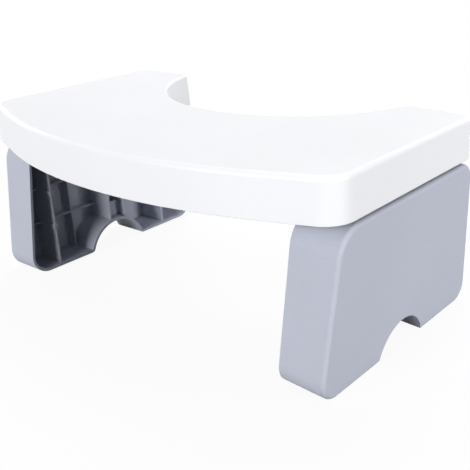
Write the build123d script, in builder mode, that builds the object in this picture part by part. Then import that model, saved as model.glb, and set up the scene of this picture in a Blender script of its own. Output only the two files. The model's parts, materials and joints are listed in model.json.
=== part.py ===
"""Folding toilet footstool: a crescent top plate on two ribbed legs that fold in under it.

Millimetres. X runs across the stool, Y from its front to its rear, Z up from the floor. The origin is on the
floor, under the middle of the stool. The legs stand open.
"""

import os
from math import cos, radians, sin, sqrt, tan

from build123d import *

os.makedirs("parts", exist_ok=True)

# Overall size, standing open
stool_width = 417.0
stool_depth = 266.0
stool_height = 178.0

# Gaps that mating pieces share
running_clearance = 0.06
snug_clearance = 0.02
side_clearance = 0.3
overrun = 10.0

# Top plate: shell
skirt_depth = 35.0
skirt_draft = 3.0
skirt_wall = 3.0
deck_thickness = 3.2
top_edge_radius = 4.0
bay_edge_chamfer = 2.5

# Top plate: outline of the skirt's lower rim, its corners measured in from the front, the rear and the sides
front_arc_radius = 432.0
crease_inset = 65.0
front_corner_setback = 48.6
rear_corner_setback = 12.4
prong_tip_inset = 68.9
prong_tip_setback = 6.0
bay_depth = 118.3
crease_radius = 14.0
front_corner_radius = 26.0
rear_corner_radius = 16.0

# Top plate: grid of ribs under the deck
deck_rib_thickness = 2.0
deck_rib_rim_gap = 15.0
cross_rib_count = 4
long_rib_count = 6

# Legs: profile seen from the side
leg_top_gap = 2.8
leg_inset = 0.5
leg_front_setback = 36.1
leg_front_slope = 7.6
leg_rear_slope = 6.4
top_front_radius = 25.0
bottom_front_radius = 19.0
bottom_rear_radius = 16.0
top_rear_radius = 18.0

# Legs: arch at the middle of the foot
arch_span = 69.4
arch_rise = 26.4
arch_foot_radius = 4.5

# Legs: thickness, lean and walls. Both faces lean in towards the foot, the outer one more.
leg_thickness = 44.0
outer_lean = 2.0
inner_lean = 0.9
leg_wall = 2.8
leg_panel = 3.0
leg_edge_radius = 3.5
mould_margin = 2.0

# Legs: ribs inside, placed by shares of the foot's length and of the leg's height
leg_rib_thickness = 1.6
deep_rib_setback = 2.8
deep_rib_shares = (0.163, 0.478, 0.568, 0.81)
low_rib_share = 0.331
low_rib_height = 11.0
level_rib_shares = (0.318, 0.586)
finger_web_height = 26.0
finger_web_thickness = 2.4
nub_width = 4.8
nub_height = 1.0
nub_length = 8.0

# Hinges
hinge_shares = (0.262, 0.69)
barrel_radius = 6.0
knuckle_length = 22.0
knuckle_web = 12.0
knuckle_web_thickness = 3.0
gusset_height = 40.0
gusset_thickness = 2.2
lug_thickness = 6.0
lug_root_spread = 4.0
bearing_rib_offset = 12.0
bearing_rib_thickness = 3.0
bearing_rib_gap = 0.5
bearing_rib_end = 30.0
pin_radius = 2.5

# Foot pads
pad_length = 42.0
pad_width = 20.0
pad_corner = 4.0
pad_thickness = 2.0
pad_proud = 0.3

# Heights worked out from the sizes above
rim_z = stool_height - skirt_depth
deck_middle_z = stool_height - deck_thickness / 2
leg_top_z = rim_z - leg_top_gap
leg_bottom_z = pad_proud

# Plan places worked out from the sizes above
side_x = stool_width / 2
front_y = -stool_depth / 2
rear_y = stool_depth / 2
front_arc_centre_y = front_y + front_arc_radius
crease_x = side_x - crease_inset
crease = (crease_x, front_arc_centre_y - sqrt(front_arc_radius**2 - crease_x**2))
front_corner = (side_x, front_y + front_corner_setback)
rear_corner = (side_x, rear_y - rear_corner_setback)
prong_tip = (side_x - prong_tip_inset, rear_y - prong_tip_setback)
bay_y = rear_y - bay_depth

# Leg planes. The profile is drawn on the leaning outer panel, from its lower edge up.
lean = radians(outer_lean)
leg_outboard_x = side_x - leg_inset
leg_inboard_x = leg_outboard_x - leg_thickness * cos(lean)
leg_rise = (leg_top_z - leg_bottom_z - leg_thickness * sin(lean)) / cos(lean)
foot_outboard_x = leg_outboard_x - leg_rise * sin(lean)
foot_inboard_x = leg_inboard_x - (leg_top_z - leg_bottom_z) * tan(radians(inner_lean))
outer_face = Plane((foot_outboard_x, 0, leg_bottom_z), x_dir=(0, 1, 0), z_dir=(cos(lean), 0, -sin(lean)))
inner_face = Plane((leg_inboard_x, 0, leg_top_z), x_dir=(0, 1, 0)).rotated((0, 90 + inner_lean, 0))
mould_depth = leg_thickness + mould_margin
mould_face = outer_face.offset(-mould_depth)

# Leg profile corners. The rounded rear foot reaches the stool's full depth.
rear_foot_half_angle = radians((90 - leg_rear_slope) / 2)
front_foot_y = front_y + leg_front_setback
rear_foot_y = rear_y + bottom_rear_radius * (1 / tan(rear_foot_half_angle) - 1)
front_top_y = front_foot_y + leg_rise * tan(radians(leg_front_slope))
rear_top_y = rear_foot_y - leg_rise * tan(radians(leg_rear_slope))
foot_length = rear_foot_y - front_foot_y
foot_middle_y = (front_foot_y + rear_foot_y) / 2
arch_radius = ((arch_span / 2) ** 2 + arch_rise**2) / (2 * arch_rise)

# Hinge line: the leg's top inner edge turns about it
hinge_x = leg_inboard_x + barrel_radius
hinge_z = leg_top_z - barrel_radius
hinge_ys = [front_foot_y + share * foot_length for share in hinge_shares]
lug_offset = (knuckle_length + lug_thickness) / 2 + side_clearance
hinge_reach = lug_offset + lug_thickness / 2
notch_reach = barrel_radius + side_clearance
notch_size = 2 * barrel_radius + overrun
fold_angle = 90 - inner_lean


def mirrored(point):
    """The same point on the left half of the stool."""
    return (-point[0], point[1])


def round_corner(sketch, corner, radius):
    """Round the corner of a sketch that lies nearest to a point."""
    fillet(sketch.vertices().sort_by_distance(corner)[0], radius)


def top_outline(inset=0):
    """The crescent: bowed front, creased shoulders, straight sides and a round bay at the rear."""
    with BuildSketch(Plane.XY.offset(rim_z)) as outline:
        with BuildLine():
            ThreePointArc(mirrored(crease), (0, front_y), crease)
            Polyline(crease, front_corner, rear_corner, prong_tip)
            ThreePointArc(prong_tip, (0, bay_y), mirrored(prong_tip))
            Polyline(mirrored(prong_tip), mirrored(rear_corner), mirrored(front_corner), mirrored(crease))
        make_face()
        for side in (tuple, mirrored):
            round_corner(outline, side(crease), crease_radius)
            round_corner(outline, side(front_corner), front_corner_radius)
            round_corner(outline, side(rear_corner), rear_corner_radius)
        if inset:
            offset(amount=-inset, mode=Mode.REPLACE)
    return outline.sketch


def drafted_block(inset, height):
    """The crescent raised from the rim, its walls leaning in as the mould draws them."""
    with BuildPart() as block:
        extrude(top_outline(inset), amount=height)
        draft(block.faces().filter_by(Axis.Z, reverse=True), Plane.XY.offset(rim_z), skirt_draft)
    return block.part


def deck_ribs():
    """A grid of ribs under the deck, trimmed to the inside of the skirt."""
    with BuildPart() as ribs:
        with BuildSketch(Plane.XY.offset(rim_z)):
            with GridLocations(stool_width, stool_depth / cross_rib_count, 1, cross_rib_count):
                Rectangle(stool_width, deck_rib_thickness)
            with GridLocations(stool_width / long_rib_count, stool_depth, long_rib_count, 1):
                Rectangle(deck_rib_thickness, stool_depth)
            add(top_outline(skirt_wall), mode=Mode.INTERSECT)
        extrude(amount=deck_middle_z - rim_z)
        split(bisect_by=Plane.XY.offset(rim_z + deck_rib_rim_gap), keep=Keep.TOP)
    return ribs.part


def hinge_lugs():
    """The pairs of lugs that hang from the deck, one pair for each knuckle of the right leg."""
    with BuildPart() as lugs:
        for hinge_y in hinge_ys:
            for end in (-1, 1):
                with BuildSketch(Plane.XZ.offset(-(hinge_y + end * lug_offset))):
                    with BuildLine():
                        Polyline((hinge_x - barrel_radius, hinge_z),
                                 (hinge_x + barrel_radius, hinge_z),
                                 (hinge_x + barrel_radius, rim_z),
                                 (hinge_x + barrel_radius + lug_root_spread, deck_middle_z),
                                 (hinge_x - barrel_radius - lug_root_spread, deck_middle_z),
                                 (hinge_x - barrel_radius, rim_z),
                                 close=True)
                    make_face()
                    with Locations((hinge_x, hinge_z)):
                        Circle(barrel_radius)
                        Circle(pin_radius + snug_clearance, mode=Mode.SUBTRACT)
                extrude(amount=lug_thickness / 2, both=True)
    return lugs.part


def bearing_rib():
    """The rib that stands on the right leg's top wall and stops it from swinging outwards."""
    foot_z = leg_top_z + bearing_rib_gap - (barrel_radius + bearing_rib_offset) * tan(lean)
    length = hinge_ys[1] - hinge_ys[0] + 2 * bearing_rib_end
    with BuildPart() as rib:
        with BuildSketch(Plane.XY.offset(foot_z)):
            with Locations((hinge_x + bearing_rib_offset, (hinge_ys[0] + hinge_ys[1]) / 2)):
                Rectangle(bearing_rib_thickness, length)
        extrude(amount=deck_middle_z - foot_z)
    return rib.part


def deck_edges(plate):
    """The edges round the deck, that of the bay first."""
    return plate.faces().sort_by(Axis.Z)[-1].edges().sort_by_distance((0, bay_y, stool_height))


# Top plate
with BuildPart() as top_plate:
    add(drafted_block(0, skirt_depth))
    fillet(deck_edges(top_plate)[1:], top_edge_radius)
    chamfer(deck_edges(top_plate)[0], bay_edge_chamfer)
    add(drafted_block(skirt_wall, skirt_depth - deck_thickness), mode=Mode.SUBTRACT)
    add(deck_ribs())
    for fitting in (hinge_lugs(), bearing_rib()):
        add(fitting)
        mirror(fitting, about=Plane.YZ)


def leg_outline(inset=0, arch=True):
    """The leg seen from the side, with its arch. An inset outline keeps the wall's thickness all round."""
    front_foot = (front_foot_y, 0)
    rear_foot = (rear_foot_y, 0)
    rear_top = (rear_top_y, leg_rise)
    front_top = (front_top_y, leg_rise)
    with BuildSketch(mould_face) as outline:
        with BuildLine():
            Polyline(front_foot, rear_foot, rear_top, front_top, close=True)
        make_face()
        if inset:
            offset(amount=-inset, kind=Kind.INTERSECTION, mode=Mode.REPLACE)
        round_corner(outline, front_foot, bottom_front_radius - inset)
        round_corner(outline, rear_foot, bottom_rear_radius - inset)
        round_corner(outline, rear_top, top_rear_radius - inset)
        round_corner(outline, front_top, top_front_radius - inset)
        if arch:
            with Locations((foot_middle_y, arch_rise - arch_radius)):
                Circle(arch_radius + inset, mode=Mode.SUBTRACT)
        if arch and not inset:
            round_corner(outline, (foot_middle_y - arch_span / 2, 0), arch_foot_radius)
            round_corner(outline, (foot_middle_y + arch_span / 2, 0), arch_foot_radius)
    return outline.sketch


def leg_slab(inset, near_face, panel_depth=0):
    """The leg's outline raised outwards, to the panel or to a depth in it, and cut off at a near face."""
    with BuildPart() as slab:
        extrude(leg_outline(inset), amount=mould_depth - panel_depth)
        split(bisect_by=near_face, keep=Keep.TOP)
    return slab.part


def rib_set(places, slab):
    """Ribs drawn from the side, each a place, a width and a height, trimmed to the slab that they fill."""
    with BuildPart() as ribs:
        with BuildSketch(mould_face):
            for centre, width, height in places:
                with Locations(centre):
                    Rectangle(width, height)
        extrude(amount=mould_depth)
        add(slab, mode=Mode.INTERSECT)
    return ribs.part


deep_rib_ys = [front_foot_y + share * foot_length for share in deep_rib_shares]
low_rib_y = front_foot_y + low_rib_share * foot_length
level_rib_rises = [share * leg_rise for share in level_rib_shares]
finger_web_y = (deep_rib_ys[1] + deep_rib_ys[2]) / 2
finger_web_width = deep_rib_ys[2] - deep_rib_ys[1]
finger_web_top = level_rib_rises[0] + leg_rib_thickness / 2


def leg_ribs():
    """Deep upright ribs, a low upright rib, two level ribs and the web over the arch."""
    deep_slab = leg_slab(leg_wall / 2, inner_face.offset(deep_rib_setback), leg_panel / 2)
    low_slab = leg_slab(leg_wall / 2, outer_face.offset(-leg_panel - low_rib_height), leg_panel / 2)
    web_slab = leg_slab(leg_wall / 2, outer_face.offset(-finger_web_height - finger_web_thickness),
                        finger_web_height)
    deep = [((y, leg_rise / 2), leg_rib_thickness, leg_rise) for y in deep_rib_ys]
    low = [((low_rib_y, leg_rise / 2), leg_rib_thickness, leg_rise)]
    level = [((foot_middle_y, rise), foot_length, leg_rib_thickness) for rise in level_rib_rises]
    web = [((finger_web_y, finger_web_top / 2), finger_web_width, finger_web_top)]
    return [rib_set(deep, deep_slab), rib_set(low + level, low_slab), rib_set(web, web_slab)]


def rib_nubs():
    """Two square nubs on the rim of the foremost deep rib, level with the level ribs."""
    with BuildPart() as nubs:
        with BuildSketch(mould_face):
            with Locations(*[(deep_rib_ys[0], rise) for rise in level_rib_rises]):
                Rectangle(nub_width, nub_width)
        extrude(amount=mould_depth)
        split(bisect_by=inner_face.offset(deep_rib_setback - nub_height), keep=Keep.TOP)
        split(bisect_by=inner_face.offset(deep_rib_setback + nub_length), keep=Keep.BOTTOM)
    return nubs.part


def leg_point(rise, depth):
    """Where a place up the panel and at a depth behind it lies, seen from the front."""
    return (foot_outboard_x + rise * sin(lean) - depth * cos(lean),
            leg_bottom_z + rise * cos(lean) + depth * sin(lean))


def knuckle(hinge_y):
    """The barrel on the leg's top inner edge, its web under the top wall and a gusset at each end."""
    with BuildPart() as barrel:
        with BuildSketch(Plane.XZ.offset(-hinge_y)):
            with Locations((hinge_x, hinge_z)):
                Circle(barrel_radius)
            with Locations((hinge_x, leg_top_z - leg_wall / 2)):
                Rectangle(barrel_radius + knuckle_web, knuckle_web_thickness, align=(Align.MIN, Align.MAX))
        extrude(amount=knuckle_length / 2, both=True)
        for end in (-1, 1):
            with BuildSketch(Plane.XZ.offset(-(hinge_y + end * (knuckle_length - gusset_thickness) / 2))):
                with BuildLine():
                    Polyline((hinge_x, hinge_z - barrel_radius),
                             (hinge_x, leg_top_z - leg_wall / 2),
                             leg_point(leg_rise - leg_wall / 2, leg_panel / 2),
                             leg_point(leg_rise - gusset_height, leg_panel / 2),
                             close=True)
                make_face()
            extrude(amount=gusset_thickness / 2, both=True)
    return barrel.part


def pad_places():
    """The middle of each pad, halfway along the flat of each foot."""
    middle_x = (foot_inboard_x + foot_outboard_x) / 2
    arch_foot = arch_span / 2 + arch_foot_radius
    front_middle_y = (front_foot_y + bottom_front_radius + foot_middle_y - arch_foot) / 2
    rear_middle_y = (foot_middle_y + arch_foot + rear_foot_y - bottom_rear_radius) / 2
    return {"front": (middle_x, front_middle_y), "rear": (middle_x, rear_middle_y)}


def pad_outline(place, margin=0):
    """A pad seen from above, its corners cut off, with a margin where it is the recess."""
    with BuildSketch() as outline:
        with Locations(place):
            Rectangle(pad_width + 2 * margin, pad_length + 2 * margin)
        chamfer(outline.vertices(), pad_corner)
    return outline.sketch


# Legs
with BuildPart() as right_leg:
    extrude(leg_outline(arch=False), amount=mould_depth)
    fillet(right_leg.faces().sort_by(Axis.X)[-1].edges(), leg_edge_radius)
    add(leg_slab(0, inner_face), mode=Mode.INTERSECT)
    add(leg_slab(leg_wall, inner_face.offset(-overrun), leg_panel), mode=Mode.SUBTRACT)
    for ribs in leg_ribs():
        add(ribs)
    add(rib_nubs())
    for hinge_y in hinge_ys:
        with BuildSketch(Plane.XZ.offset(-hinge_y)):
            with Locations((hinge_x + notch_reach, hinge_z - notch_reach)):
                Rectangle(notch_size, notch_size, align=(Align.MAX, Align.MIN))
        extrude(amount=hinge_reach + side_clearance, both=True, mode=Mode.SUBTRACT)
        add(knuckle(hinge_y))
        with BuildSketch(Plane.XZ.offset(-hinge_y)):
            with Locations((hinge_x, hinge_z)):
                Circle(pin_radius + running_clearance)
        extrude(amount=knuckle_length / 2 + side_clearance, both=True, mode=Mode.SUBTRACT)
    for place in pad_places().values():
        extrude(pad_outline(place, side_clearance), amount=pad_thickness, mode=Mode.SUBTRACT)

with BuildPart() as left_leg:
    mirror(right_leg.part, about=Plane.YZ)


def hinge_pin(hinge_y, side):
    """A plain dowel through two lugs and the knuckle between them, its ends level with the lugs."""
    with BuildPart() as pin:
        with BuildSketch(Plane.XZ.offset(-hinge_y)):
            with Locations((side * hinge_x, hinge_z)):
                Circle(pin_radius)
        extrude(amount=hinge_reach, both=True)
    return pin.part


def foot_pad(place, side):
    """A rubber slab in its recess, standing a little proud of the foot."""
    with BuildPart() as pad:
        extrude(pad_outline((side * place[0], place[1])), amount=pad_thickness)
    return pad.part


# Name, check and write every piece
pieces = {"top_plate": top_plate.part, "left_leg": left_leg.part, "right_leg": right_leg.part}
for side_name, side in (("left", -1), ("right", 1)):
    for end_name, hinge_y in zip(("front", "rear"), hinge_ys):
        pieces[f"{side_name}_{end_name}_hinge_pin"] = hinge_pin(hinge_y, side)
    for end_name, place in pad_places().items():
        pieces[f"{side_name}_{end_name}_foot_pad"] = foot_pad(place, side)

for name, piece in pieces.items():
    piece.label = name
    export_step(piece, f"parts/{name}.step")
    state = "valid" if piece.is_valid else "INVALID"
    print(name, len(piece.solids()), "solid", round(piece.volume), "mm3", state)

print("hinge line at x", round(hinge_x, 3), "z", round(hinge_z, 3), "fold angle", fold_angle)
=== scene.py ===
# %% [markdown]
# # Folding toilet footstool
#
# This lesson dresses a ready-made model of a folding squat stool: a white crescent top on two grey legs that fold
# in under it. The shapes come from the CAD model, in metres, and stay as they are. What is left to do is what the
# eye reads as plastic: colour, grain, gloss, soft edges, a little dust and painted shade in the corners, and light
# like that of a photo studio.
#
# The first cell loads the model, whose stool has three bodies: the seat and the two sides. Each CAD node becomes a
# Blender object with its place written into its mesh, and the empties it hung from are removed.

# %% Load the model
import json
from math import cos, radians, sin

import bpy
from mathutils import Matrix, Vector

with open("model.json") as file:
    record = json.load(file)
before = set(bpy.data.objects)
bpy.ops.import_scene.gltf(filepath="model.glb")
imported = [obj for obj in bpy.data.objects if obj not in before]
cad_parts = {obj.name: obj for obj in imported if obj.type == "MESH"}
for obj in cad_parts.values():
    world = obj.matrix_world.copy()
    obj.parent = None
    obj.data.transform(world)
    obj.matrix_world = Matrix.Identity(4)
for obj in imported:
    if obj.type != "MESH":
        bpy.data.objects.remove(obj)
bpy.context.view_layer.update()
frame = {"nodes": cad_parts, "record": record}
nodes = frame["nodes"]
mm = 0.001

# %% [markdown]
# ## Smooth shading
#
# The model arrives as flat triangles. Plastic mouldings are smooth across their rounded edges and crisp only where
# two faces meet at an angle. Shading every face smooth and marking the steep edges as sharp gives both, and it
# doesn't move a single point of the mesh. Subdivision would move points, so it is no choice here.

# %% Shade the mouldings
crease_angle = radians(32)


def shade_moulding(piece):
    """Smooth the rounded faces and keep the real corners crisp."""
    piece.data.shade_smooth()
    piece.data.set_sharp_from_angle(angle=crease_angle)


for piece in nodes.values():
    shade_moulding(piece)
print("shaded", len(nodes), "pieces")

# %% [markdown]
# ## Helpers for node trees
#
# A material is a small circuit of nodes. Written out in full, every node takes several lines, so five helpers keep
# the cells below short: one feeds a socket, one adds a node, one does sums, one cuts a value off at 0 and 1, and
# one blends two colours. Each takes the output of another node as well as a plain number.

# %% Feed, add, calculate, cut off, blend


def feed(tree, socket, value):
    """Link an output to a socket, or set the socket to a plain value."""
    if isinstance(value, bpy.types.NodeSocket):
        tree.links.new(value, socket)
    else:
        socket.default_value = value


def add_node(tree, kind, inputs=None, **settings):
    """A node of the given kind, with its settings made and its inputs fed."""
    node = tree.nodes.new(kind)
    for name, value in settings.items():
        setattr(node, name, value)
    for name, value in (inputs or {}).items():
        feed(tree, node.inputs[name], value)
    return node


def calculate(tree, operation, *values):
    """A sum, product or other operation on outputs and numbers."""
    node = add_node(tree, "ShaderNodeMath", operation=operation)
    for socket, value in zip(node.inputs, values):
        feed(tree, socket, value)
    return node.outputs["Value"]


def cut_off(tree, value):
    """The value, held between 0 and 1."""
    return calculate(tree, "MINIMUM", calculate(tree, "MAXIMUM", value, 0.0), 1.0)


def blend_colour(tree, share, first, second):
    """The first colour where the share is 0 and the second where it is 1."""
    node = add_node(tree, "ShaderNodeMix", data_type="RGBA")
    feed(tree, node.inputs["Factor"], share)
    for socket, colour in ((node.inputs["A"], first), (node.inputs["B"], second)):
        feed(tree, socket, colour if isinstance(colour, bpy.types.NodeSocket) else (*colour, 1))
    return node.outputs["Result"]


print("helpers ready")

# %% [markdown]
# ## Effects as node groups
#
# An effect that several finishes share is best built once, as a node group with named sockets, and placed in each
# material with its own numbers. A group here only puts out values, masks and normals. The shader itself stays in
# the material, where it can be read and changed on its own.

# %% Start and place a node group


def start_group(name, inputs, outputs):
    """An empty shader group with float inputs and with outputs of the given kinds."""
    group = bpy.data.node_groups.new(name, "ShaderNodeTree")
    for label, value in inputs.items():
        socket = group.interface.new_socket(label, in_out="INPUT", socket_type="NodeSocketFloat")
        socket.default_value = value
    for label, kind in outputs.items():
        group.interface.new_socket(label, in_out="OUTPUT", socket_type="NodeSocket" + kind)
    return group, group.nodes.new("NodeGroupInput").outputs, group.nodes.new("NodeGroupOutput").inputs


def place_group(tree, group, **values):
    """Place a group in a material and give its outputs. An input's name has underscores for spaces."""
    node = add_node(tree, "ShaderNodeGroup", node_tree=group)
    for label, value in values.items():
        feed(tree, node.inputs[label.replace("_", " ")], value)
    return node.outputs


print("groups can be started and placed")

# %% [markdown]
# ### Grain
#
# The mould for such a stool is spark-eroded, which leaves a fine even grain on the plastic. Up close it is a field
# of tiny rounded pits on a slightly wavy skin. Pits in the mesh would cost millions of faces, so a bump stands for
# them. Three noises make it up: a fine one for the pits, one four times as coarse for the waves, and a broad one
# for the slow change in gloss and tone that comes from the way the plastic flowed. Object coordinates are in
# metres and move with each piece, so the grain has a true size and never swims.

# %% Grain of a moulded surface
pits_across_a_wave = 4.0


def build_grain():
    """Fine pits for the bump and a broad drift for gloss and tone."""
    group, given, result = start_group(
        "moulded_grain",
        {"Pits per mm": 1.6, "Drift per metre": 9.0},
        {"Pits": "Float", "Drift": "Float"},
    )
    place = add_node(group, "ShaderNodeTexCoord").outputs["Object"]
    pit_scale = calculate(group, "MULTIPLY", given["Pits per mm"], 1 / mm)
    wave_scale = calculate(group, "DIVIDE", pit_scale, pits_across_a_wave)
    pits = add_node(group, "ShaderNodeTexNoise", {"Vector": place, "Scale": pit_scale, "Detail": 2.0})
    waves = add_node(group, "ShaderNodeTexNoise", {"Vector": place, "Scale": wave_scale, "Detail": 1.0})
    drift = add_node(group, "ShaderNodeTexNoise",
                     {"Vector": place, "Scale": given["Drift per metre"], "Detail": 3.0})
    feed(group, result["Pits"], calculate(group, "ADD", pits.outputs["Fac"], waves.outputs["Fac"]))
    feed(group, result["Drift"], drift.outputs["Fac"])
    return group


grain_group = build_grain()
print("built", grain_group.name)

# %% [markdown]
# ### Soft edges
#
# No moulded edge is truly sharp: a mould's corners have a radius of some tenths of a millimetre, and they catch a
# thin line of light. Cutting that radius into every rib would cost thousands of faces. The Bevel node bends only
# the normals near an edge, within a radius that is set in real size, and that is enough for so small a radius. How
# far the bent normal has turned from the face's own also tells where the edges are, which is where a surface is
# handled most and is polished a shade paler. The paler colour blended in there is also a painted highlight.

# %% Soft edges and where they are
probe_rays = 6
edge_contrast = 4.0


def build_soft_edges():
    """A normal that turns smoothly over each edge, and a mask of the edges."""
    group, given, result = start_group("soft_edges", {"Radius mm": 0.5}, {"Normal": "Vector", "Edge": "Float"})
    radius = calculate(group, "MULTIPLY", given["Radius mm"], mm)
    bevel = add_node(group, "ShaderNodeBevel", {"Radius": radius}, samples=probe_rays)
    surface = add_node(group, "ShaderNodeNewGeometry")
    likeness = add_node(group, "ShaderNodeVectorMath", operation="DOT_PRODUCT")
    feed(group, likeness.inputs[0], bevel.outputs["Normal"])
    feed(group, likeness.inputs[1], surface.outputs["Normal"])
    turn = calculate(group, "SUBTRACT", 1.0, likeness.outputs["Value"])
    feed(group, result["Normal"], bevel.outputs["Normal"])
    feed(group, result["Edge"], cut_off(group, calculate(group, "MULTIPLY", turn, edge_contrast)))
    return group


soft_edge_group = build_soft_edges()
print("built", soft_edge_group.name)

# %% [markdown]
# ### Dust and painted shade in the corners
#
# Dust and cleaner residue gather where a cloth doesn't reach: in the corners between ribs and under the deck. A
# mask could be painted by hand, but ambient occlusion finds the corners by itself: it measures how closed in a
# point is, within a chosen reach. A noise breaks the mask up, so that it looks settled and not painted. On the
# plastics the colour it blends in is darker than the plastic, so it also paints shade into the corners and the
# legs' hollows. On the rubber it blends in pale dust.

# %% Dust and painted shade where a cloth doesn't reach
patch_contrast = 1.6


def build_dust_and_shade():
    """A mask that is high in closed-in corners and patchy."""
    group, given, result = start_group(
        "corner_dust_and_shade",
        {"Reach mm": 12.0, "Patches per metre": 60.0, "Amount": 0.5},
        {"Dust and shade": "Float"},
    )
    reach = calculate(group, "MULTIPLY", given["Reach mm"], mm)
    openness = add_node(group, "ShaderNodeAmbientOcclusion", {"Distance": reach}, samples=probe_rays)
    closed = calculate(group, "SUBTRACT", 1.0, openness.outputs["AO"])
    place = add_node(group, "ShaderNodeTexCoord").outputs["Object"]
    noise = add_node(group, "ShaderNodeTexNoise",
                     {"Vector": place, "Scale": given["Patches per metre"], "Detail": 4.0})
    patches = calculate(group, "MULTIPLY", noise.outputs["Fac"], patch_contrast)
    corner_mask = calculate(group, "MULTIPLY", calculate(group, "MULTIPLY", closed, patches), given["Amount"])
    feed(group, result["Dust and shade"], cut_off(group, corner_mask))
    return group


dust_and_shade_group = build_dust_and_shade()
print("built", dust_and_shade_group.name)

# %% [markdown]
# ### Fine scratches
#
# Feet, floors and cloths leave hairline marks, far too many to draw one by one. Each is long and thin, so a noise
# is stretched sixty times along one direction, and only its highest crests are kept. The direction is turned a
# little by a second, broad noise, so the marks don't run like the lines of a comb.

# %% Hairline marks
wander_per_metre = 14.0
mark_contrast = 12.0


def build_scratches():
    """A mask of thin marks that run along one direction and wander."""
    group, given, result = start_group(
        "hairline_marks",
        {"Turn": 0.6, "Marks per mm": 0.9, "Length": 60.0, "Rarity": 0.62},
        {"Marks": "Float"},
    )
    place = add_node(group, "ShaderNodeTexCoord").outputs["Object"]
    wander = add_node(group, "ShaderNodeTexNoise", {"Vector": place, "Scale": wander_per_metre, "Detail": 1.0})
    angle = calculate(group, "ADD", given["Turn"], wander.outputs["Fac"])
    turned = add_node(group, "ShaderNodeVectorRotate", {"Vector": place, "Angle": angle}, rotation_type="Z_AXIS")
    parts = add_node(group, "ShaderNodeSeparateXYZ", {"Vector": turned.outputs["Vector"]})
    along = calculate(group, "DIVIDE", parts.outputs["X"], given["Length"])
    stretched = add_node(group, "ShaderNodeCombineXYZ",
                         {"X": along, "Y": parts.outputs["Y"], "Z": parts.outputs["Z"]})
    scale = calculate(group, "MULTIPLY", given["Marks per mm"], 1 / mm)
    crests = add_node(group, "ShaderNodeTexNoise",
                      {"Vector": stretched.outputs["Vector"], "Scale": scale, "Detail": 1.0})
    kept = calculate(group, "SUBTRACT", crests.outputs["Fac"], given["Rarity"])
    feed(group, result["Marks"], cut_off(group, calculate(group, "MULTIPLY", kept, mark_contrast)))
    return group


marks_group = build_scratches()
print("built", marks_group.name)

# %% [markdown]
# ## A material and its shader
#
# Every finish here ends in the same way: a Principled BSDF takes its colour, its roughness, and a normal that is
# bumped over the soft edges. Two short helpers hold what the finishes share. What sets a finish apart, such as the
# metal of the pins, is set on the shader in its own cell.

# %% Start a material, join it up


def start_material(name):
    """A new material, its node tree and its shader."""
    material = bpy.data.materials.new(name)
    material.use_nodes = True
    return material, material.node_tree, material.node_tree.nodes["Principled BSDF"]


def dress_shader(tree, shader, tone, gloss, height, depth_mm, normal):
    """Feed the shader its colour, its roughness and its bumped normal."""
    bump = add_node(tree, "ShaderNodeBump", {"Distance": depth_mm * mm, "Height": height, "Normal": normal})
    feed(tree, shader.inputs["Base Color"], tone)
    feed(tree, shader.inputs["Roughness"], gloss)
    feed(tree, shader.inputs["Normal"], bump.outputs["Normal"])


print("materials can be started and joined up")

# %% [markdown]
# ## The two plastics
#
# Both mouldings are polypropylene. It is a little waxy: satin, with a soft highlight and no mirror. The top is
# white with a cool cast and the smoother of the two. The legs are a pale violet grey with a finer, deeper and
# drier grain, which swallows some of the gloss: its pits shade each other, and the shader can't see them at this
# size, so the level of its gloss is turned down instead. One recipe makes both, from their own colours and
# numbers. The colour reaches the shader in three steps: the flow's slow drift, the paler edges, which are partly
# wear and partly a painted highlight, then the dust, whose darker colour also paints shade into the corners.

# %% Recipe for a moulded plastic
polypropylene_ior = 1.49
mark_roughness = 0.2


def moulded_plastic(name, colour, tone_drift, roughness, gloss_drift, gloss_level, pit_depth_mm, pits_per_mm,
                    edge_mm, edge_colour, edge_share, dust_and_shade_colour, dust_and_shade_amount, mark_amount):
    """A satin plastic with grain, soft edges, dust in its corners and hairline marks."""
    material, tree, shader = start_material(name)
    grain = place_group(tree, grain_group, Pits_per_mm=pits_per_mm)
    edges = place_group(tree, soft_edge_group, Radius_mm=edge_mm)
    corner_mask = place_group(tree, dust_and_shade_group, Amount=dust_and_shade_amount)["Dust and shade"]
    marks = calculate(tree, "MULTIPLY", place_group(tree, marks_group)["Marks"], mark_amount)
    darker = [part * (1 - tone_drift) for part in colour]
    lighter = [part * (1 + tone_drift) for part in colour]
    tone = blend_colour(tree, grain["Drift"], darker, lighter)
    # Paler edges: partly wear, partly a painted highlight along each edge.
    tone = blend_colour(tree, calculate(tree, "MULTIPLY", edges["Edge"], edge_share), tone, edge_colour)
    # Dust and painted shade: the closed-in corners take a colour darker than the plastic.
    tone = blend_colour(tree, corner_mask, tone, dust_and_shade_colour)
    gloss = calculate(tree, "MULTIPLY", grain["Drift"], gloss_drift)
    gloss = calculate(tree, "ADD", gloss, roughness - gloss_drift / 2)
    gloss = calculate(tree, "ADD", gloss, calculate(tree, "MULTIPLY", marks, mark_roughness))
    height = calculate(tree, "SUBTRACT", grain["Pits"], marks)
    dress_shader(tree, shader, tone, gloss, height, pit_depth_mm, edges["Normal"])
    shader.inputs["IOR"].default_value = polypropylene_ior
    shader.inputs["Specular IOR Level"].default_value = gloss_level
    return material


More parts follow.
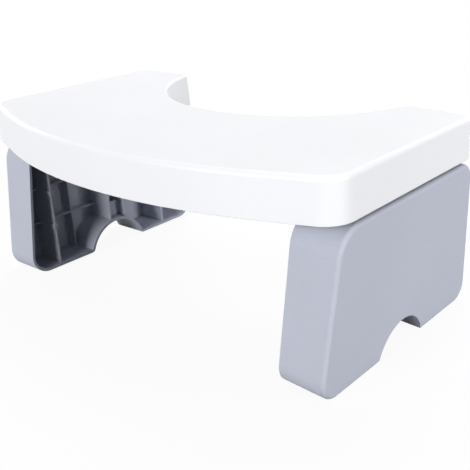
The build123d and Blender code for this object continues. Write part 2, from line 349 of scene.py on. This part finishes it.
white_plastic = moulded_plastic(
    "white_moulding", colour=(0.86, 0.868, 0.895), tone_drift=0.03, roughness=0.42, gloss_drift=0.14,
    gloss_level=0.4, pit_depth_mm=0.08, pits_per_mm=1.4, edge_mm=0.6, edge_colour=(0.90, 0.905, 0.92),
    edge_share=0.5, dust_and_shade_colour=(0.62, 0.61, 0.60), dust_and_shade_amount=0.16, mark_amount=0.35)
grey_plastic = moulded_plastic(
    "grey_moulding", colour=(0.50, 0.525, 0.614), tone_drift=0.06, roughness=0.58, gloss_drift=0.14,
    gloss_level=0.28, pit_depth_mm=0.20, pits_per_mm=1.8, edge_mm=0.5, edge_colour=(0.56, 0.58, 0.67),
    edge_share=0.5, dust_and_shade_colour=(0.30, 0.30, 0.32), dust_and_shade_amount=0.35, mark_amount=0.3)
print("mixed", white_plastic.name, "and", grey_plastic.name)

# %% [markdown]
# ## Steel for the hinge pins
#
# A dowel is cut from drawn wire. The die leaves faint lines along its length, and the surface is bright but never
# a mirror. The shader's own anisotropy would stretch the highlight but show no line. So the hairline group serves
# here too, turned to run along the pin and packed close, and it lifts the roughness where a line runs.

# %% Drawn steel
dark_steel = (0.56, 0.55, 0.54)
bright_steel = (0.68, 0.68, 0.67)
steel_roughness = 0.26
line_roughness = 0.16
line_depth_mm = 0.01


def drawn_steel():
    """Bright steel with the lines of the drawing die along it."""
    material, tree, shader = start_material("drawn_steel")
    grain = place_group(tree, grain_group, Pits_per_mm=3.0, Drift_per_metre=120.0)
    lines = place_group(tree, marks_group, Turn=radians(60), Marks_per_mm=6.0, Length=90.0, Rarity=0.5)["Marks"]
    edges = place_group(tree, soft_edge_group, Radius_mm=0.3)
    tone = blend_colour(tree, grain["Drift"], dark_steel, bright_steel)
    gloss = calculate(tree, "ADD", steel_roughness, calculate(tree, "MULTIPLY", lines, line_roughness))
    dress_shader(tree, shader, tone, gloss, lines, line_depth_mm, edges["Normal"])
    shader.inputs["Metallic"].default_value = 1.0
    return material


pin_steel = drawn_steel()
print("drew", pin_steel.name)

# %% [markdown]
# ## Rubber for the foot pads
#
# The pads grip a wet floor, so they are a soft matte rubber. It has a coarser grain than the plastics, is nearly
# without gloss, and picks up floor dust faster than anything else on the stool. The recipe for plastic doesn't fit
# it, as rubber takes no hairline marks and its edges don't turn pale. The same groups do, with their own numbers.

# %% Matte rubber
dark_rubber = (0.075, 0.078, 0.082)
pale_rubber = (0.105, 0.108, 0.112)
floor_dust = (0.26, 0.25, 0.24)
rubber_roughness = 0.74
pebble_roughness = 0.14
pebble_depth_mm = 0.12


def matte_rubber():
    """Soft grey rubber with a pebbled face and settled dust."""
    material, tree, shader = start_material("matte_rubber")
    grain = place_group(tree, grain_group, Pits_per_mm=0.9, Drift_per_metre=70.0)
    corner_mask = place_group(tree, dust_and_shade_group, Reach_mm=3.0, Patches_per_metre=180.0, Amount=0.8)["Dust and shade"]
    edges = place_group(tree, soft_edge_group, Radius_mm=0.4)
    tone = blend_colour(tree, grain["Drift"], dark_rubber, pale_rubber)
    tone = blend_colour(tree, corner_mask, tone, floor_dust)
    gloss = calculate(tree, "ADD", rubber_roughness, calculate(tree, "MULTIPLY", grain["Pits"], pebble_roughness))
    dress_shader(tree, shader, tone, gloss, grain["Pits"], pebble_depth_mm, edges["Normal"])
    return material


pad_rubber = matte_rubber()
print("mixed", pad_rubber.name)

# %% [markdown]
# ## Dress the pieces
#
# The model's record says which material slot each piece belongs to. Reading it keeps this lesson in step with the
# model: every piece gets its finish by its slot, and none can be forgotten.

# %% Give each piece its finish
finishes = {
    "top_plastic": white_plastic,
    "leg_plastic": grey_plastic,
    "steel": pin_steel,
    "pad_rubber": pad_rubber,
}
for entry in frame["record"]["subparts"]:
    piece = nodes[entry["node"]]
    piece.data.materials.clear()
    piece.data.materials.append(finishes[entry["material_slot"]])
    print(entry["node"], "is", finishes[entry["material_slot"]].name)

# %% [markdown]
# ## Camera
#
# The picture this view follows was taken from the front right corner, a little above, and from quite near, so
# the right leg looms large. The numbers were found by matching the stool's corners: the way round and the height
# of the view, its distance, and a slight roll of the camera. The three directions of the camera, to its right, up,
# and back from the stool, are the columns of its matrix.

# %% Place the camera
image_size = 470
focal_pixels = 742.5
sensor_width_mm = 36.0
view_azimuth = radians(42.4)
view_elevation = radians(22.9)
view_roll = radians(-2.3)
view_distance = 0.7345
view_target = Vector((10.2, 28.5, 50.3)) * mm

backward = Vector((sin(view_azimuth) * cos(view_elevation), -cos(view_azimuth) * cos(view_elevation),
                   sin(view_elevation)))
level_right = Vector((cos(view_azimuth), sin(view_azimuth), 0))
level_up = backward.cross(level_right)
rightward = cos(view_roll) * level_right + sin(view_roll) * level_up
upward = cos(view_roll) * level_up - sin(view_roll) * level_right

camera_data = bpy.data.cameras.new("camera")
camera_data.sensor_width = sensor_width_mm
camera_data.lens = focal_pixels / image_size * sensor_width_mm
camera = bpy.data.objects.new("camera", camera_data)
bpy.context.scene.collection.objects.link(camera)
pose = Matrix((rightward, upward, backward)).transposed().to_4x4()
pose.translation = view_target + view_distance * backward
camera.matrix_world = pose
bpy.context.scene.camera = camera
print("camera lens", round(camera_data.lens, 2), "mm")

# %% [markdown]
# ## Floor and backdrop
#
# Catalogue pictures stand on white that runs out of the frame. A real white floor would need so much light that the
# stool's own white would burn out. Light Path solves it: the camera, and rays that meet a glossy or clear surface,
# see the floor as nearly plain white, with a share of its true shading, which keeps the stool's soft shadow. Away
# from the stool that share fades out, so that the floor runs into the white room without a line. All other light
# meets a dark matte floor, which sends only a little light back up into the legs.

# %% Mix the floor's finish
plain_white_share = 0.93
shadow_reach = 0.4
white_reach = 1.3
pure_white = (1, 1, 1, 1)
seen_floor_colour = (0.95, 0.95, 0.95)
matte_floor_colour = (0.10, 0.10, 0.105)


def seen_directly(tree):
    """1 for rays from the camera or by way of a glossy or clear surface, otherwise 0."""
    path = add_node(tree, "ShaderNodeLightPath").outputs
    seen = calculate(tree, "MAXIMUM", path["Is Camera Ray"], path["Is Glossy Ray"])
    return calculate(tree, "MAXIMUM", seen, path["Is Transmission Ray"])


def white_sweep():
    """The floor's finish: plain white with a soft shadow to the eye, a dark matte grey to all other light."""
    material = bpy.data.materials.new("white_sweep")
    material.use_nodes = True
    tree = material.node_tree
    tree.nodes.clear()
    seen = seen_directly(tree)
    matte = add_node(tree, "ShaderNodeBsdfDiffuse",
                     {"Color": blend_colour(tree, seen, matte_floor_colour, seen_floor_colour)})
    plain = add_node(tree, "ShaderNodeEmission", {"Color": pure_white})
    place = add_node(tree, "ShaderNodeTexCoord").outputs["Object"]
    distance = add_node(tree, "ShaderNodeVectorMath", {"Vector": place}, operation="LENGTH").outputs["Value"]
    fade = add_node(tree, "ShaderNodeMapRange",
                    {"Value": distance, "From Min": shadow_reach, "From Max": white_reach,
                     "To Min": plain_white_share, "To Max": 1.0}, interpolation_type="SMOOTHSTEP")
    plain_share = calculate(tree, "MULTIPLY", seen, fade.outputs["Result"])
    mix = add_node(tree, "ShaderNodeMixShader", {"Fac": plain_share})
    feed(tree, mix.inputs[1], matte.outputs["BSDF"])
    feed(tree, mix.inputs[2], plain.outputs["Emission"])
    add_node(tree, "ShaderNodeOutputMaterial", {"Surface": mix.outputs["Shader"]})
    return material


floor_finish = white_sweep()
print("mixed", floor_finish.name)

# %% [markdown]
# ## Lay the floor
#
# The floor is one large flat face. The pads' undersides lie at a height of exactly 0, and two faces at one height
# would flicker, so the floor lies a tenth of a millimetre lower. It is part of the stage and not of the stool.

# %% One large face
floor_half = 6.0
floor_z = -0.1 * mm

floor_mesh = bpy.data.meshes.new("floor")
floor_corners = [(-floor_half, -floor_half, floor_z), (floor_half, -floor_half, floor_z),
                 (floor_half, floor_half, floor_z), (-floor_half, floor_half, floor_z)]
floor_mesh.from_pydata(floor_corners, [], [(0, 1, 2, 3)])
floor_mesh.materials.append(floor_finish)
floor = bpy.data.objects.new("floor", floor_mesh)
bpy.context.scene.collection.objects.link(floor)
print("floor", 2 * floor_half, "m square")

# %% [markdown]
# ## Studio light
#
# Large soft lamps light a white object evenly, and each is big enough that no shadow on the stool has a hard edge.
# The front and side lamps stand low and far away. They are as strong on the skirt as the overhead lamp is on the
# deck, which is why the deck's front edge nearly vanishes, as in the picture, and they come in too low to reach
# deep into the legs' hollows, which stay dark. The overhead lamp hangs behind the stool and to its left, so that
# the rounded edge of the deck isn't much brighter than the rest. Two weaker lamps, at the left and behind, fill
# the sides that the picture doesn't show. The deck would mirror a lamp that stands low behind the stool's left
# corner into the camera, so none stands there.

# %% Hang the lamps
stool_middle = Vector((0, 0, 0.09))


def softbox(name, place, size, watts):
    """A square lamp that points from its place at the middle of the stool."""
    data = bpy.data.lights.new(name, "AREA")
    data.shape = "SQUARE"
    data.size = size
    data.energy = watts
    lamp = bpy.data.objects.new(name, data)
    lamp.location = place
    lamp.rotation_euler = (stool_middle - lamp.location).to_track_quat("-Z", "Y").to_euler()
    bpy.context.scene.collection.objects.link(lamp)
    print(name, watts, "W")


softbox("overhead_softbox", place=(-0.8, 1.3, 2.3), size=2.0, watts=45)
softbox("front_softbox", place=(0.0, -3.0, 0.8), size=1.6, watts=86)
softbox("side_softbox", place=(2.87, 0.5, 0.85), size=1.5, watts=69)
softbox("left_softbox", place=(-3.3, 0.5, 0.7), size=1.2, watts=27)
softbox("rear_softbox", place=(-0.1, 3.0, 0.9), size=1.5, watts=12)

# %% [markdown]
# ## Room light
#
# A real studio's walls send back a little light from all round, and without it the hollows of the legs would be
# black. The world does the same, weakly. Where the camera or a reflection sees it, it is plain white, as the floor
# is, so that the two run together. The Standard view shows colours as they are written.

# %% Light the room
room_light = 0.11
world = bpy.data.worlds.new("studio")
world.use_nodes = True
world_tree = world.node_tree
world_tree.nodes.clear()
strength = calculate(world_tree, "MAXIMUM", seen_directly(world_tree), room_light)
room = add_node(world_tree, "ShaderNodeBackground", {"Color": pure_white, "Strength": strength})
add_node(world_tree, "ShaderNodeOutputWorld", {"Surface": room.outputs["Background"]})
bpy.context.scene.world = world
bpy.context.scene.view_settings.view_transform = "Standard"
print("room light", room_light)
